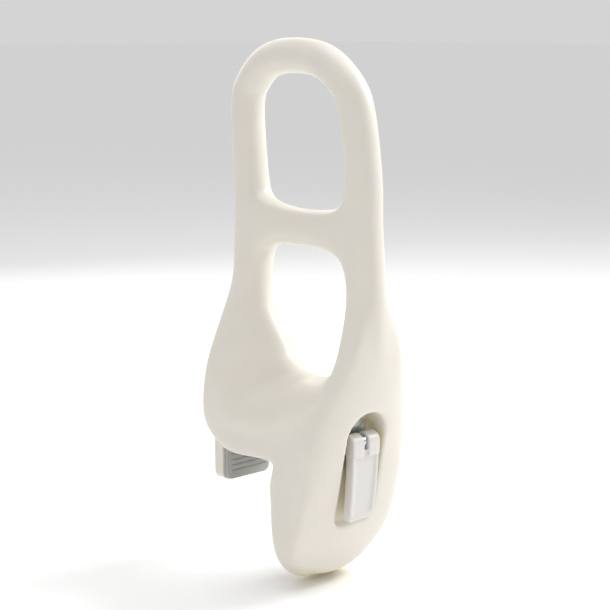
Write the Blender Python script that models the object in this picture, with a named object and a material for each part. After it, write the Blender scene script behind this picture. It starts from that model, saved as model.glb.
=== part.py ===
"""Clamp-on bathtub rail: a hollow moulded loop that straddles the tub's wall, with a cam-lever clamp.

Frame: metres, +Z up. X runs along the tub's rim, -Y is outside the tub (lever side), +Y is inside it.
The origin is the centre of the saddle's contact with the flat top of the rim.
"""
import math
from math import cos, pi, radians, sin

import bmesh
import bpy
from mathutils import Vector

MM = 0.001
GAP = 0.3            # gap left between touching pieces, mm

# ---- driving dimensions, mm -------------------------------------------------------------------
WALL = 86.0          # thickness of the tub's wall that the clamp is closed on
JAW_FACE_Y = 42.5    # inner face of that wall
LEG_FACE_Y = JAW_FACE_Y - WALL
TUBE_R = 15.5        # hand loop and crossbar, a 31 mm grip
BAR_Z = 200.7        # crossbar's centre line
ARCH = dict(y=-31.5, z=270.0, half_width=71.5, height=76.0, lean=8.0, power=0.8)
SHELL = 3.5          # wall of the moulded body
SEAT_Z = 3.0         # underside of the saddle, above its pad
ROD_Z = 25.0         # clamp rod's axis
ROD_R = 4.0
ROD_END_Y = 91.0
PIVOT_Y = -104.5     # lever's pivot
CAM_CLOSED = 10.0    # pivot to wear plate with the lever down
CAM_OPEN = 7.5       # pivot to wear plate with the lever up
LEVER_TRAVEL = radians(105.0)
RECESS_HALF = 22.0
RECESS_TOP = 52.0
RECESS_BOTTOM = -51.0
RECESS_FLOOR_Y = -89.5
POCKET_HALF = 31.0   # pocket for the jaw in the far face
POCKET_TOP = 49.0
POCKET_FLOOR_Y = 33.0
LEG_BACK_Y = -46.3   # floor of the shallow seat for the leg's pad
PAD_SEAT_Z = 3.9     # floor of the shallow seat for the saddle's pad
PAD_ROOM = 0.8       # gap round a pad in its seat
BARREL_R = 7.0       # lever's barrel
LEVER_HALF = 15.4
SLOT_HALF = 2.6      # slot between the barrel's halves
PANEL_DEPTH = 1.3
LEVER_ROWS = ((18.6, 15.0, -109.8, -102.0), (15.0, 15.2, -110.2, -101.2), (11.5, 15.2, -110.3, -101.0),
              (2.0, 15.1, -109.9, -100.6), (-10.0, 14.9, -109.0, -99.8), (-22.0, 14.6, -107.9, -98.8),
              (-35.0, 14.2, -106.0, -97.2), (-39.0, 14.0, -105.3, -96.7), (-42.5, 13.5, -104.4, -96.8),
              (-44.2, 12.2, -103.2, -97.8))   # height, half width, front and back of the arm
PIN_R = 2.7
CAM_CLEARANCE = 0.15
TANG_HALF = 2.2      # flattened front end of the rod, between the lever's cheeks
TANG_END_Y = -92.5
BUSH_R = 7.0
BUSH_FLANGE = 1.35
BUSH_END_Y = -85.9
TUBE_OUTER_R = 7.5   # crush tube
TUBE_INNER_R = 5.2
BLOCK_END_Y = 10.0   # guide block behind the pocket's floor
FLANGE_THICK = 3.0
SCREW_R = 1.5
SCREW_HEAD_R = 2.8
SCREW_PLACES = ((-27.2, 12.2), (27.2, 12.2), (-27.2, 44.8), (27.2, 44.8))
GUIDE_X = 16.0
GUIDE_Z = 36.0
GUIDE_R = 3.0
GUIDE_END_Y = -13.0
JAW_FRONT_Y = 47.0
JAW_BACK_Y = 58.0
KNOB_R = 14.0
KNOB_LOW_Y = 60.1
KNOB_HIGH_Y = 73.1
KNOB_LOBES = 7
LOBE_DEPTH = 1.1
NUT_R = 6.5
CLIP_Y = 88.0
RUN = 0.5            # play of the rod in its guides, per side

# upright slabs, symmetric in x: half width, low edge, high edge, corner radius
SADDLE_PAD = (38.0, -38.0, 18.0, 6.0)
LEG_PAD = (32.0, -66.0, -18.0, 6.0)
WEAR_PLATE = (15.5, 10.0, 41.0, 3.0)
GUIDE_BLOCK = (24.0, 15.0, 43.0, 2.5)
GUIDE_FLANGE = (30.4, 8.6, 48.3, 3.0)
JAW_PLATE = (27.0, -37.0, 46.0, 8.0)
JAW_PAD = (25.0, -36.0, -4.0, 6.0)


# ---- helpers ----------------------------------------------------------------------------------
def clear_scene():
    for old in list(bpy.data.objects):
        bpy.data.objects.remove(old, do_unlink=True)


def material(name, colour, roughness, metallic=0.0):
    mat = bpy.data.materials.new(name)
    mat.use_nodes = True
    shader = mat.node_tree.nodes["Principled BSDF"]
    shader.inputs["Base Color"].default_value = (*colour, 1.0)
    shader.inputs["Roughness"].default_value = roughness
    shader.inputs["Metallic"].default_value = metallic
    return mat


def add_object(name, mesh, mat=None):
    obj = bpy.data.objects.new(name, mesh)
    bpy.context.scene.collection.objects.link(obj)
    if mat:
        mesh.materials.append(mat)
    return obj


# ---- rail body: half cage of points that lie on the finished surface ---------------------------
ROWS = ("O", "O2", "P", "M", "Q", "S", "R")     # across a tube: outer rim, side, inner rim


def tube_station(y, z, normal_y, normal_z, half_width, half_thick):
    """Seven points round half of a tube; the normal points away from the window."""
    points = {}
    for k, row in enumerate(ROWS):
        angle = pi * k / 6
        across = half_width * cos(angle)
        points[row] = (half_thick * sin(angle), y + normal_y * across, z + normal_z * across)
    return points


def arch_point(phi):
    """Centre line of the hand loop's top, a superellipse that leans towards the tub."""
    across = math.copysign(abs(cos(phi)) ** ARCH["power"], cos(phi))
    up = sin(phi) ** ARCH["power"]
    y = ARCH["y"] + ARCH["half_width"] * across + ARCH["lean"] * up
    return Vector((y, ARCH["z"] + ARCH["height"] * up))


def arch_stations():
    """Stations over the top of the hand loop, from the near arm to the far arm."""
    stations = []
    for degrees in (162, 139, 114, 90, 66, 41, 18):
        phi = radians(degrees)
        along = (arch_point(phi + 0.02) - arch_point(phi - 0.02)).normalized()
        y, z = arch_point(phi)
        stations.append(tube_station(y, z, along.y, -along.x, TUBE_R - 0.6, TUBE_R - 0.5))
    return stations


def corner(points, q, s, r):
    """Bend the inner rows of a station round a window's corner: (y, z) of rows Q, S and R."""
    for row, (y, z) in zip("QSR", (q, s, r)):
        points[row] = (points[row][0], y, z)
    return points


def body_stations():
    r = TUBE_R
    st = {}
    st["N0"] = tube_station(-107.0, BAR_Z, -1, 0, r, r)
    st["A1"] = corner(tube_station(-106.0, 223.0, -1, 0, r, r),
                      (-88.5, 218.3), (-84.3, 222.7), (-83.0, 224.0))
    st["A2"] = tube_station(-104.6, 250.0, -1, 0, r, r)
    for k, points in enumerate(arch_stations()):
        st["A%d" % (k + 3)] = points
    st["A10"] = tube_station(37.0, 248.0, 1, 0, r, r)
    st["A11"] = corner(tube_station(35.5, 223.0, 1, 0, r, r),
                       (18.5, 218.3), (14.3, 222.7), (13.0, 224.0))
    st["F0"] = tube_station(35.0, BAR_Z, 1, 0, r + 0.5, r + 0.5)
    st["F1"] = corner(tube_station(35.0, 178.0, 1, 0, r + 1, r + 1),
                      (16.5, 182.5), (12.0, 178.0), (10.5, 176.5))
    st["N1"] = corner(tube_station(-108.0, 178.0, -1, 0, r + 0.5, r + 0.5),
                      (-90.1, 182.7), (-86.1, 178.1), (-84.7, 176.7))
    st["N2"] = tube_station(-109.7, 147.0, -1, 0, 16.5, 18.0)
    st["N3"] = dict(O=(0, -127.5, 110), O2=(14, -126, 110), P=(26, -123, 110), M=(28.5, -114, 111),
                    Q=(25, -104, 112), S=(14, -94, 112), R=(0, -88, 113))
    st["N4"] = dict(O=(0, -122.5, 74), O2=(21, -121, 73), P=(39.5, -115, 72))
    # round the bottom of the lower window: M mid side, Q crease, S and R down the flare
    st["B1"] = dict(M=(46, -100, 62), Q=(41, -102, 79), S=(23, -90, 81), R=(0, -79, 84))
    st["B2"] = dict(M=(49.5, -74, 42), Q=(47, -74, 58.5), S=(26, -69, 71), R=(0, -66, 75.5))
    st["B3"] = dict(M=(50, -45, 28), Q=(49, -45, 45.5), S=(27, -48, 63.5), R=(0, -52, 72))
    st["B4"] = dict(M=(50, -15, 21), Q=(49.5, -22, 39.5), S=(27, -30, 58.5), R=(0, -39.5, 73))
    st["B5"] = dict(M=(50, 14, 22), Q=(49.5, 0, 40), S=(27, -16, 59.5), R=(0, -30, 75))
    st["B6"] = dict(M=(50, 28, 28), Q=(49, 9, 46), S=(27, -9, 60), R=(0, -23, 78),
                    P=(46, 41, 14), O2=(26, 44, 12.5), O=(0, 44.5, 12))
    st["B7"] = dict(M=(49.5, 38, 46), Q=(47, 17, 59), S=(26, -2, 69), R=(0, -17, 82),
                    P=(47, 49, 34), O2=(26, 53, 34), O=(0, 53.5, 34))
    st["F4"] = dict(M=(47, 40, 70), Q=(43.5, 22, 76), S=(24, 4, 83), R=(0, -11, 88),
                    P=(42.5, 49.5, 70), O2=(24, 54, 70), O=(0, 54.5, 70))
    st["F3"] = dict(O=(0, 55, 96), O2=(18, 54.5, 96), P=(33, 50, 96), M=(37, 40, 96),
                    Q=(30, 26, 97), S=(16, 9, 100), R=(0, -2, 102))
    st["F2b"] = dict(O=(0, 54, 125), O2=(12.5, 53, 125), P=(22, 48, 125), M=(25, 39, 125),
                     Q=(20, 29, 125), S=(11, 20, 126), R=(0, 15, 126))
    st["F2"] = tube_station(35.3, 151.0, 1, 0, 17.5, 18.0)
    # leg rows: O, O2, P front; L1, L2 side; K, K2, K0 tub side
    st["L0"] = dict(O=(0, -114.5, 40), O2=(27, -112.5, 38), P=(51, -104.5, 34), L1=(52.5, -86, 26),
                    L2=(51, -62, 14), K=(49, -45, SEAT_Z), K2=(26, -45.5, SEAT_Z), K0=(0, -45.5, SEAT_Z))
    st["L1"] = dict(O=(0, -107.5, 5), O2=(28, -106, 5), P=(52.5, -101, 4), L1=(54, -84, 2),
                    L2=(54, -63, -4), K=(52, -47, -13), K2=(26, -45.5, -13), K0=(0, -45.5, -13))
    st["L2"] = dict(O=(0, -100.5, -26), O2=(29, -99.5, -26), P=(53.5, -94.5, -27), L1=(55, -79, -28),
                    L2=(55, -62, -30), K=(52, -47.5, -33), K2=(26, -45.5, -33), K0=(0, -45.5, -33))
    st["L3"] = dict(O=(0, -92.5, -54), O2=(28, -91.5, -55), P=(51.5, -85.5, -57), L1=(54, -73, -58),
                    L2=(54, -60, -60), K=(50.5, -48, -61), K2=(26, -45.5, -61), K0=(0, -45.5, -61))
    st["L4"] = dict(O=(0, -83, -81), O2=(22, -81.5, -80.5), P=(42, -76, -80), L1=(46.5, -68, -82),
                    L2=(46.5, -58, -84), K=(42, -48.5, -86), K2=(22, -46, -89), K0=(0, -45.8, -91))
    st["L5"] = dict(O=(0, -75, -96), O2=(13, -74.5, -95), P=(26, -71, -93.5), L1=(31, -66, -95),
                    L2=(32, -59, -97), K=(28, -52.5, -100), K2=(14, -50.5, -103), K0=(0, -50, -104))
    # saddle underside and crossbar
    st["S1"] = dict(K=(48, -14, SEAT_Z), K2=(26, -14, SEAT_Z), K0=(0, -14, SEAT_Z))
    st["S2"] = dict(K=(48, 17, SEAT_Z), K2=(26, 17, SEAT_Z), K0=(0, 17, SEAT_Z))
    for name, y in (("C1", -84.0), ("C2", -52.0), ("C3", -18.0), ("C4", 12.0)):
        st[name] = dict(M=(r, y, BAR_Z), UQ=(r * 0.87, y, BAR_Z + 8), US=(r * 0.5, y, BAR_Z + 14.2),
                        UR=(0, y, BAR_Z + 16.2), LQ=(r * 0.87, y, BAR_Z - 8.3),
                        LS=(r * 0.5, y, BAR_Z - 14.4), LR=(0, y, BAR_Z - 16.4))
    return st


def body_faces():
    """Quads of the half cage, as lists of (station, row)."""
    quads = []

    def strip(a, b, rows_a, rows_b=None):
        rows_b = rows_b or rows_a
        for k in range(len(rows_a) - 1):
            quads.append([(a, rows_a[k]), (a, rows_a[k + 1]), (b, rows_b[k + 1]), (b, rows_b[k])])

    outer = ["N3", "N2", "N1", "N0"] + ["A%d" % k for k in range(1, 12)]
    outer += ["F0", "F1", "F2", "F2b", "F3", "F4"]
    for a, b in zip(outer, outer[1:]):
        whole = "N0" not in (a, b) and "F0" not in (a, b)
        strip(a, b, ROWS if whole else ROWS[:4])
    # the crossbar joins the arms at N0 and F0
    for arm, up, down, bar in (("N0", "A1", "N1", "C1"), ("F0", "A11", "F1", "C4")):
        quads.append([(arm, "M"), (up, "M"), (up, "Q"), (bar, "M")])
        quads.append([(arm, "M"), (bar, "M"), (down, "Q"), (down, "M")])
    upper = [("A1", "Q", "S", "R"), ("C2", "UQ", "US", "UR"),
             ("C3", "UQ", "US", "UR"), ("A11", "Q", "S", "R")]
    lower = [("N1", "Q", "S", "R"), ("C2", "LQ", "LS", "LR"),
             ("C3", "LQ", "LS", "LR"), ("F1", "Q", "S", "R")]
    bars = ["C1", "C2", "C3", "C4"]
    for side in (upper, lower):
        for k in range(3):
            a, b = side[k], side[k + 1]
            quads.append([(bars[k], "M"), (a[0], a[1]), (b[0], b[1]), (bars[k + 1], "M")])
            for row in (1, 2):
                quads.append([(a[0], a[row]), (a[0], a[row + 1]), (b[0], b[row + 1]), (b[0], b[row])])
    # ring round the bottom of the lower window
    ring = ["N3", "B1", "B2", "B3", "B4", "B5", "B6", "B7", "F4"]
    for a, b in zip(ring, ring[1:]):
        strip(a, b, ("M", "Q", "S", "R"))
    # front of the body, and the band between the ring and the leg or the saddle
    strip("N3", "N4", ("O", "O2", "P"))
    strip("N4", "L0", ("O", "O2", "P"))
    quads.append([("N3", "P"), ("N4", "P"), ("B1", "M"), ("N3", "M")])
    quads.append([("N4", "P"), ("L0", "P"), ("L0", "L1"), ("B1", "M")])
    quads.append([("B1", "M"), ("L0", "L1"), ("L0", "L2"), ("B2", "M")])
    quads.append([("B2", "M"), ("L0", "L2"), ("L0", "K"), ("B3", "M")])
    quads.append([("B3", "M"), ("L0", "K"), ("S1", "K"), ("B4", "M")])
    quads.append([("B4", "M"), ("S1", "K"), ("S2", "K"), ("B5", "M")])
    quads.append([("B5", "M"), ("S2", "K"), ("B6", "P"), ("B6", "M")])
    strip("B6", "B7", ("O", "O2", "P", "M"))
    strip("B7", "F4", ("O", "O2", "P", "M"))
    under = ("K", "K2", "K0")
    strip("L0", "S1", under)
    strip("S1", "S2", under)
    strip("S2", "B6", under, ("P", "O2", "O"))
    leg = ("O", "O2", "P", "L1", "L2", "K", "K2", "K0")
    for a, b in zip(("L0", "L1", "L2", "L3", "L4"), ("L1", "L2", "L3", "L4", "L5")):
        strip(a, b, leg)
    for k in range(3):
        quads.append([("L5", leg[k]), ("L5", leg[k + 1]), ("L5", leg[6 - k]), ("L5", leg[7 - k])])
    return quads


def limit_points(mesh_points, quads, neighbours):
    """Where the subdivision surface of an all-quad cage carries each of its points."""
    n_points = len(mesh_points)
    diagonals = [Vector() for _ in range(n_points)]
    counts = [0] * n_points
    for quad in quads:
        for k in range(4):
            diagonals[quad[k]] += mesh_points[quad[(k + 2) % 4]]
            counts[quad[k]] += 1
    result = []
    for i, point in enumerate(mesh_points):
        n = counts[i]
        edges = Vector()
        for j in neighbours[i]:
            edges += mesh_points[j]
        result.append((point * n * n + edges * 4 + diagonals[i]) / (n * (n + 5)))
    return result


def station_mesh():
    """All station points, mirrored, in metres, and the quads between them."""
    stations = body_stations()
    index = {}
    points = []
    quads = []
    for half in (1, -1):
        for quad in body_faces():
            corners = []
            for name, row in quad:
                x, y, z = stations[name][row]
                key = (name, row, half if x > 0.001 else 0)
                if key not in index:
                    index[key] = len(points)
                    points.append(Vector((x * half, y, z)) * MM)
                corners.append(index[key])
            quads.append(corners)
    return points, quads


def body_cage():
    """Points and quads of the cage, corrected so that its subdivision surface meets the stations."""
    points, quads = station_mesh()
    neighbours = [set() for _ in points]
    for quad in quads:
        for k in range(4):
            neighbours[quad[k]].update((quad[(k + 1) % 4], quad[(k + 3) % 4]))
    cage = list(points)
    for _ in range(30):
        carried = limit_points(cage, quads, neighbours)
        cage = [c + (target - now) * 0.8 for c, target, now in zip(cage, points, carried)]
    return cage, quads


def mesh_object(name, points, faces, mat=None):
    """An object from points in mm and its faces, with the faces turned outwards."""
    mesh = bpy.data.meshes.new(name)
    mesh.from_pydata([Vector(p) * MM for p in points], [], faces)
    bm = bmesh.new()
    bm.from_mesh(mesh)
    bmesh.ops.recalc_face_normals(bm, faces=bm.faces)
    bm.to_mesh(mesh)
    bm.free()
    return add_object(name, mesh, mat)


def prism(name, outline, axis, low, high, mat=None):
    """Extrude a closed outline of (u, v) points along axis X, Y or Z, from low to high, in mm."""
    def place(u, v, w):
        return {"X": (w, u, v), "Y": (u, w, v), "Z": (u, v, w)}[axis]

    n = len(outline)
    points = [place(u, v, w) for w in (low, high) for u, v in outline]
    faces = [list(range(n)), list(range(n, 2 * n))]
    faces += [[k, (k + 1) % n, n + (k + 1) % n, n + k] for k in range(n)]
    return mesh_object(name, points, faces, mat)


def circle(u, v, radius, steps=28):
    turn = 2 * pi / steps
    return [(u + radius * cos(turn * k), v + radius * sin(turn * k)) for k in range(steps)]


def rounded_box(u_low, u_high, v_low, v_high, radius, steps=4):
    """Outline of a rectangle with round corners."""
    points = []
    for u, v, start in ((u_high - radius, v_high - radius, 0), (u_low + radius, v_high - radius, 90),
                        (u_low + radius, v_low + radius, 180), (u_high - radius, v_low + radius, 270)):
        for k in range(steps + 1):
            angle = radians(start + 90 * k / steps)
            points.append((u + radius * cos(angle), v + radius * sin(angle)))
    return points


def slab(shape, grow=0.0, steps=4):
    """Outline of one of the slabs, widened all round by grow."""
    half, low, high, radius = shape
    return rounded_box(-half - grow, half + grow, low - grow, high + grow, radius + grow, steps)


def hide(obj):
    obj.hide_render = True
    obj.display_type = "WIRE"
    return obj


def boolean(obj, operation, other):
    mod = obj.modifiers.new(other.name, "BOOLEAN")
    mod.operation = operation
    mod.solver = "EXACT"
    mod.object = hide(other)


def cut(obj, *cutters):
    for cutter in cutters:
        boolean(obj, "DIFFERENCE", cutter)


def unite(obj, *others):
    for other in others:
        boolean(obj, "UNION", other)


def place_origin(obj, x, y, z):
    """Move an object's origin to a point in mm and leave its shape where it is."""
    origin = Vector((x, y, z)) * MM
    for vertex in obj.data.vertices:
        vertex.co -= origin
    obj.location = origin


# ---- rail body ---------------------------------------------------------------------------------
def recess_block(name, grow):
    """The lever's recess as a solid: rows of half width and floor, from the arched top down."""
    arch_z = RECESS_TOP - RECESS_HALF
    rows = [(arch_z + (RECESS_HALF + grow) * sin(radians(a)), (RECESS_HALF + grow) * cos(radians(a)),
             RECESS_FLOOR_Y) for a in (88, 70, 52, 35, 17, 0)]
    rows += [(6.0, RECESS_HALF + grow, RECESS_FLOOR_Y), (2.0, RECESS_HALF + grow, -95.0),
             (-36.0, RECESS_HALF + grow, -88.5), (-43.0, RECESS_HALF - 1.0 + grow, -88.5),
             (-48.5 - grow, RECESS_HALF - 4.5 + grow, -90.5),
             (RECESS_BOTTOM - grow, RECESS_HALF - 10.0 + grow, -93.3)]
    points = []
    for z, half, floor in rows:
        points += [(-half, -145.0, z), (half, -145.0, z), (half, floor + grow, z), (-half, floor + grow, z)]
    faces = [[0, 1, 2, 3], [4 * len(rows) - 4 + k for k in range(4)]]
    for r in range(len(rows) - 1):
        a = 4 * r
        faces += [[a + k, a + (k + 1) % 4, a + 4 + (k + 1) % 4, a + 4 + k] for k in range(4)]
    return mesh_object(name, points, faces)


def pocket_block(name, grow):
    """The jaw's pocket in the far face, open towards the tub and downwards."""
    outline = [(-POCKET_HALF - grow, -30.0), (POCKET_HALF + grow, -30.0)]
    outline += [(POCKET_HALF + grow, POCKET_TOP + grow - 2), (POCKET_HALF + grow - 2, POCKET_TOP + grow)]
    outline += [(-POCKET_HALF - grow + 2, POCKET_TOP + grow), (-POCKET_HALF - grow, POCKET_TOP + grow - 2)]
    return prism(name, outline, "Y", POCKET_FLOOR_Y - grow, 80.0)


def rail_body(mat):
    cage, quads = body_cage()
    mesh = bpy.data.meshes.new("rail_body")
    mesh.from_pydata(cage, [], quads)
    bm = bmesh.new()
    bm.from_mesh(mesh)
    bmesh.ops.recalc_face_normals(bm, faces=bm.faces)
    bm.to_mesh(mesh)
    bm.free()
    mesh.shade_smooth()
    body = add_object("rail_body", mesh, mat)
    surface = body.modifiers.new("surface", "SUBSURF")
    surface.levels = 1
    surface.render_levels = 1
    # the hollow: the stations themselves, moved in by the shell's thickness
    hollow_mesh = bpy.data.meshes.new("hollow")
    hollow_mesh.from_pydata(station_mesh()[0], [], quads)
    bm = bmesh.new()
    bm.from_mesh(hollow_mesh)
    bmesh.ops.recalc_face_normals(bm, faces=bm.faces)
    bm.normal_update()
    for vertex in bm.verts:
        vertex.co -= vertex.normal * SHELL * MM
    bm.to_mesh(hollow_mesh)
    bm.free()
    hollow = add_object("hollow", hollow_mesh)
    cut(hollow, recess_block("recess_wall", SHELL), pocket_block("pocket_wall", SHELL))
    cut(body, hollow, recess_block("recess", 0.0), pocket_block("pocket", 0.0),
        prism("bush_hole", circle(0, ROD_Z, BUSH_R + GAP), "Y", -100.0, -70.0),
        prism("block_hole", slab(GUIDE_BLOCK, GAP, 2), "Y", 0.0, 50.0))
    for k, (x, z) in enumerate(SCREW_PLACES):
        cut(body, prism("screw_hole_%d" % k, circle(x, z, SCREW_R + GAP, 12), "Y", 20.0, 50.0))
    cut(body, prism("saddle_pad_seat", slab(SADDLE_PAD, PAD_ROOM), "Z", -20.0, PAD_SEAT_Z),
        prism("leg_pad_seat", slab(LEG_PAD, PAD_ROOM), "Y", LEG_BACK_Y, -30.0))
    return body


# ---- clamp --------------------------------------------------------------------------------------
def ring(name, outer, inner, low, high, mat, steps=28):
    """A washer, bush or tube round the clamp rod's axis."""
    piece = prism(name, circle(0, ROD_Z, outer, steps), "Y", low, high, mat)
    cut(piece, prism(name + "_bore", circle(0, ROD_Z, inner, steps), "Y", low - 1, high + 1))
    return piece


def cam_profile():
    """Outline (y, z) of a lever cheek round its pivot.

    The cam's distance to the wear plate falls evenly with the lever's angle, so that the pull on the
    rod is in proportion to the angle; the rest is the round barrel and the root of the arm."""
    slope = (CAM_OPEN - CAM_CLOSED) / LEVER_TRAVEL
    points = []
    steps = 12
    for k in range(steps + 1):
        angle = LEVER_TRAVEL * k / steps
        reach = CAM_CLOSED + slope * angle
        points.append((reach * cos(angle) - slope * sin(angle), reach * sin(angle) + slope * cos(angle)))
    for degrees in (118, 133, 149, 165, 180):
        angle = radians(degrees)
        points.append((BARREL_R * cos(angle), BARREL_R * sin(angle)))
    points += [(-6.9, -6.0), (-6.6, -12.0), (2.4, -12.0), (6.5, -8.0), (9.4, -4.5)]
    return [(PIVOT_Y + y, ROD_Z + z) for y, z in points]


def cam_lever(mat):
    """Two barrel cheeks and an arm with a sunk front panel between raised ribs."""
    rows = []
    for k, (z, half, front, back) in enumerate(LEVER_ROWS):
        sunk = PANEL_DEPTH if 0 < k < len(LEVER_ROWS) - 3 else 0.0
        rib = 3.0
        rows.append([(-half, front, z), (-half + rib, front, z), (-half + rib + 0.8, front + sunk, z),
                     (half - rib - 0.8, front + sunk, z), (half - rib, front, z), (half, front, z),
                     (half, back, z), (-half, back, z)])
    n = len(rows[0])
    points = [p for row in rows for p in row]
    faces = [list(range(n)), [len(points) - n + k for k in range(n)]]
    for r in range(len(rows) - 1):
        faces += [[n * r + k, n * r + (k + 1) % n, n * r + n + (k + 1) % n, n * r + n + k] for k in range(n)]
    lever = mesh_object("cam_lever", points, faces, mat)
    outline = cam_profile()
    unite(lever, prism("cheek_left", outline, "X", -LEVER_HALF, -SLOT_HALF),
          prism("cheek_right", outline, "X", SLOT_HALF, LEVER_HALF))
    cut(lever, prism("pin_hole", circle(PIVOT_Y, ROD_Z, PIN_R + GAP, 20), "X", -15.0, 15.0))
    return lever


def clamp_rod(mat):
    rod = prism("clamp_rod", circle(0, ROD_Z, ROD_R, 24), "Y", TANG_END_Y - 1.0, ROD_END_Y, mat)
    eye = circle(PIVOT_Y, ROD_Z, 5.0, 24)
    tang = rounded_box(PIVOT_Y, TANG_END_Y, ROD_Z - 3.8, ROD_Z + 3.8, 1.0, 2)
    unite(rod, prism("rod_eye", eye, "X", -TANG_HALF, TANG_HALF),
          prism("rod_tang", tang, "X", -TANG_HALF, TANG_HALF))
    cut(rod, prism("rod_eye_hole", circle(PIVOT_Y, ROD_Z, PIN_R + GAP, 20), "X", -5.0, 5.0))
    return rod


def guide_block(mat):
    block = prism("rear_guide_block", slab(GUIDE_FLANGE, 0.0, 3), "Y", POCKET_FLOOR_Y + GAP,
                  POCKET_FLOOR_Y + GAP + FLANGE_THICK, mat)
    unite(block, prism("block_inner", slab(GUIDE_BLOCK, 0.0, 2), "Y", BLOCK_END_Y, POCKET_FLOOR_Y + 1.0))
    cut(block, prism("block_rod_hole", circle(0, ROD_Z, ROD_R + RUN, 24), "Y", 0.0, 50.0))
    for k, x in enumerate((-GUIDE_X, GUIDE_X)):
        cut(block, prism("block_pin_hole_%d" % k, circle(x, GUIDE_Z, GUIDE_R + GAP, 16), "Y", 0.0, 50.0))
    for k, (x, z) in enumerate(SCREW_PLACES):
        cut(block, prism("flange_hole_%d" % k, circle(x, z, SCREW_R + GAP, 12), "Y", 20.0, 50.0))


def guide_screws(mat):
    seat = POCKET_FLOOR_Y + FLANGE_THICK + 2 * GAP
    for k, (x, z) in enumerate(SCREW_PLACES):
        screw = prism("guide_block_screw_%d" % (k + 1), circle(x, z, SCREW_R, 12), "Y", 22.0, seat + 0.5, mat)
        unite(screw, prism("screw_head_%d" % k, circle(x, z, SCREW_HEAD_R, 16), "Y", seat, seat + 1.4))


def inner_jaw(mat):
    """A slab that hangs inside the tub, with four hollows between the ribs of its back."""
    jaw = prism("inner_jaw", slab(JAW_PLATE), "Y", JAW_FRONT_Y, JAW_BACK_Y, mat)
    for low, high in ((-32.0, -16.0), (-12.0, 9.0)):
        for left, right in ((-22.0, -2.0), (2.0, 22.0)):
            hollow = rounded_box(left, right, low, high, 3.0, 2)
            cut(jaw, prism("jaw_hollow", hollow, "Y", JAW_BACK_Y - 6.0, JAW_BACK_Y + 5.0))
    cut(jaw, prism("jaw_bore", circle(0, ROD_Z, ROD_R + RUN, 24), "Y", 30.0, 80.0))
    for x in (-GUIDE_X, GUIDE_X):
        cut(jaw, prism("jaw_pin_hole", circle(x, GUIDE_Z, GUIDE_R + GAP, 16), "Y", 30.0, JAW_BACK_Y - 2.0))


def adjusting_knob(mat):
    """A hand knob with round lobes."""
    steps = KNOB_LOBES * 8
    outline = []
    for k in range(steps):
        angle = 2 * pi * k / steps
        radius = KNOB_R - LOBE_DEPTH + LOBE_DEPTH * cos(KNOB_LOBES * angle)
        outline.append((radius * sin(angle), ROD_Z + radius * cos(angle)))
    knob = prism("adjusting_knob", outline, "Y", KNOB_LOW_Y, KNOB_HIGH_Y, mat)
    cut(knob, prism("knob_bore", circle(0, ROD_Z, NUT_R + GAP, 24), "Y", 50.0, 90.0))


def front_guide(nylon, steel):
    """The flanged bush in the recess's floor and the plate that the cam bears on."""
    flange_y = RECESS_FLOOR_Y - GAP
    bush = prism("front_bushing", circle(0, ROD_Z, BUSH_R), "Y", flange_y - 1.0, BUSH_END_Y, nylon)
    unite(bush, prism("bush_flange", circle(0, ROD_Z, 10.5), "Y", flange_y - BUSH_FLANGE, flange_y))
    cut(bush, prism("bush_bore", circle(0, ROD_Z, ROD_R + RUN, 28), "Y", -110.0, -70.0))
    wear = prism("cam_wear_plate", slab(WEAR_PLATE), "Y", PIVOT_Y + CAM_CLOSED + CAM_CLEARANCE,
                 flange_y - BUSH_FLANGE - GAP, steel)
    cut(wear, prism("wear_plate_bore", circle(0, ROD_Z, ROD_R + 0.7, 28), "Y", -110.0, -80.0))


def main():
    clear_scene()
    cream = material("rail_plastic", (0.80, 0.76, 0.68), 0.42)
    white = material("lever_plastic", (0.80, 0.78, 0.75), 0.38)
    steel = material("zinc_steel", (0.55, 0.57, 0.60), 0.32, 1.0)
    nylon = material("nylon", (0.75, 0.74, 0.70), 0.45)
    rubber = material("rubber", (0.42, 0.42, 0.41), 0.8)
    brass = material("brass", (0.72, 0.55, 0.28), 0.35, 1.0)

    rail_body(cream)
    prism("saddle_pad", slab(SADDLE_PAD), "Z", 0.0, PAD_SEAT_Z - GAP, rubber)
    prism("leg_pad", slab(LEG_PAD), "Y", LEG_BACK_Y + GAP, LEG_FACE_Y, rubber)
    front_guide(nylon, steel)
    ring("crush_tube", TUBE_OUTER_R, TUBE_INNER_R, BUSH_END_Y + GAP, BLOCK_END_Y - GAP, steel)
    guide_block(nylon)
    guide_screws(steel)

    rod = clamp_rod(steel)
    lever = cam_lever(white)
    pin = prism("lever_pivot_pin", circle(PIVOT_Y, ROD_Z, PIN_R, 20), "X", -14.6, 14.6, steel)
    for piece in (rod, lever, pin):
        place_origin(piece, 0, PIVOT_Y, ROD_Z)
    ring("rod_end_clip", 6.3, ROD_R + GAP, CLIP_Y, CLIP_Y + 1.4, steel)

    inner_jaw(nylon)
    prism("jaw_pad", slab(JAW_PAD), "Y", JAW_FACE_Y, JAW_FRONT_Y - GAP, rubber)
    for side, x in (("left", -GUIDE_X), ("right", GUIDE_X)):
        prism("jaw_guide_pin_" + side, circle(x, GUIDE_Z, GUIDE_R, 16), "Y", GUIDE_END_Y,
              JAW_BACK_Y - 2.0 - GAP, steel)
    ring("thrust_washer", 9.0, ROD_R + RUN, JAW_BACK_Y + GAP, JAW_BACK_Y + GAP + 1.5, steel)
    adjusting_knob(nylon)
    ring("knob_insert_nut", NUT_R, ROD_R + 0.4, KNOB_LOW_Y + GAP, KNOB_HIGH_Y - GAP, brass, 24)


main()
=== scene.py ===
"""Looks of the clamp-on bathtub rail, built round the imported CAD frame."""
import math
from math import cos, pi, radians, sin

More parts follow.
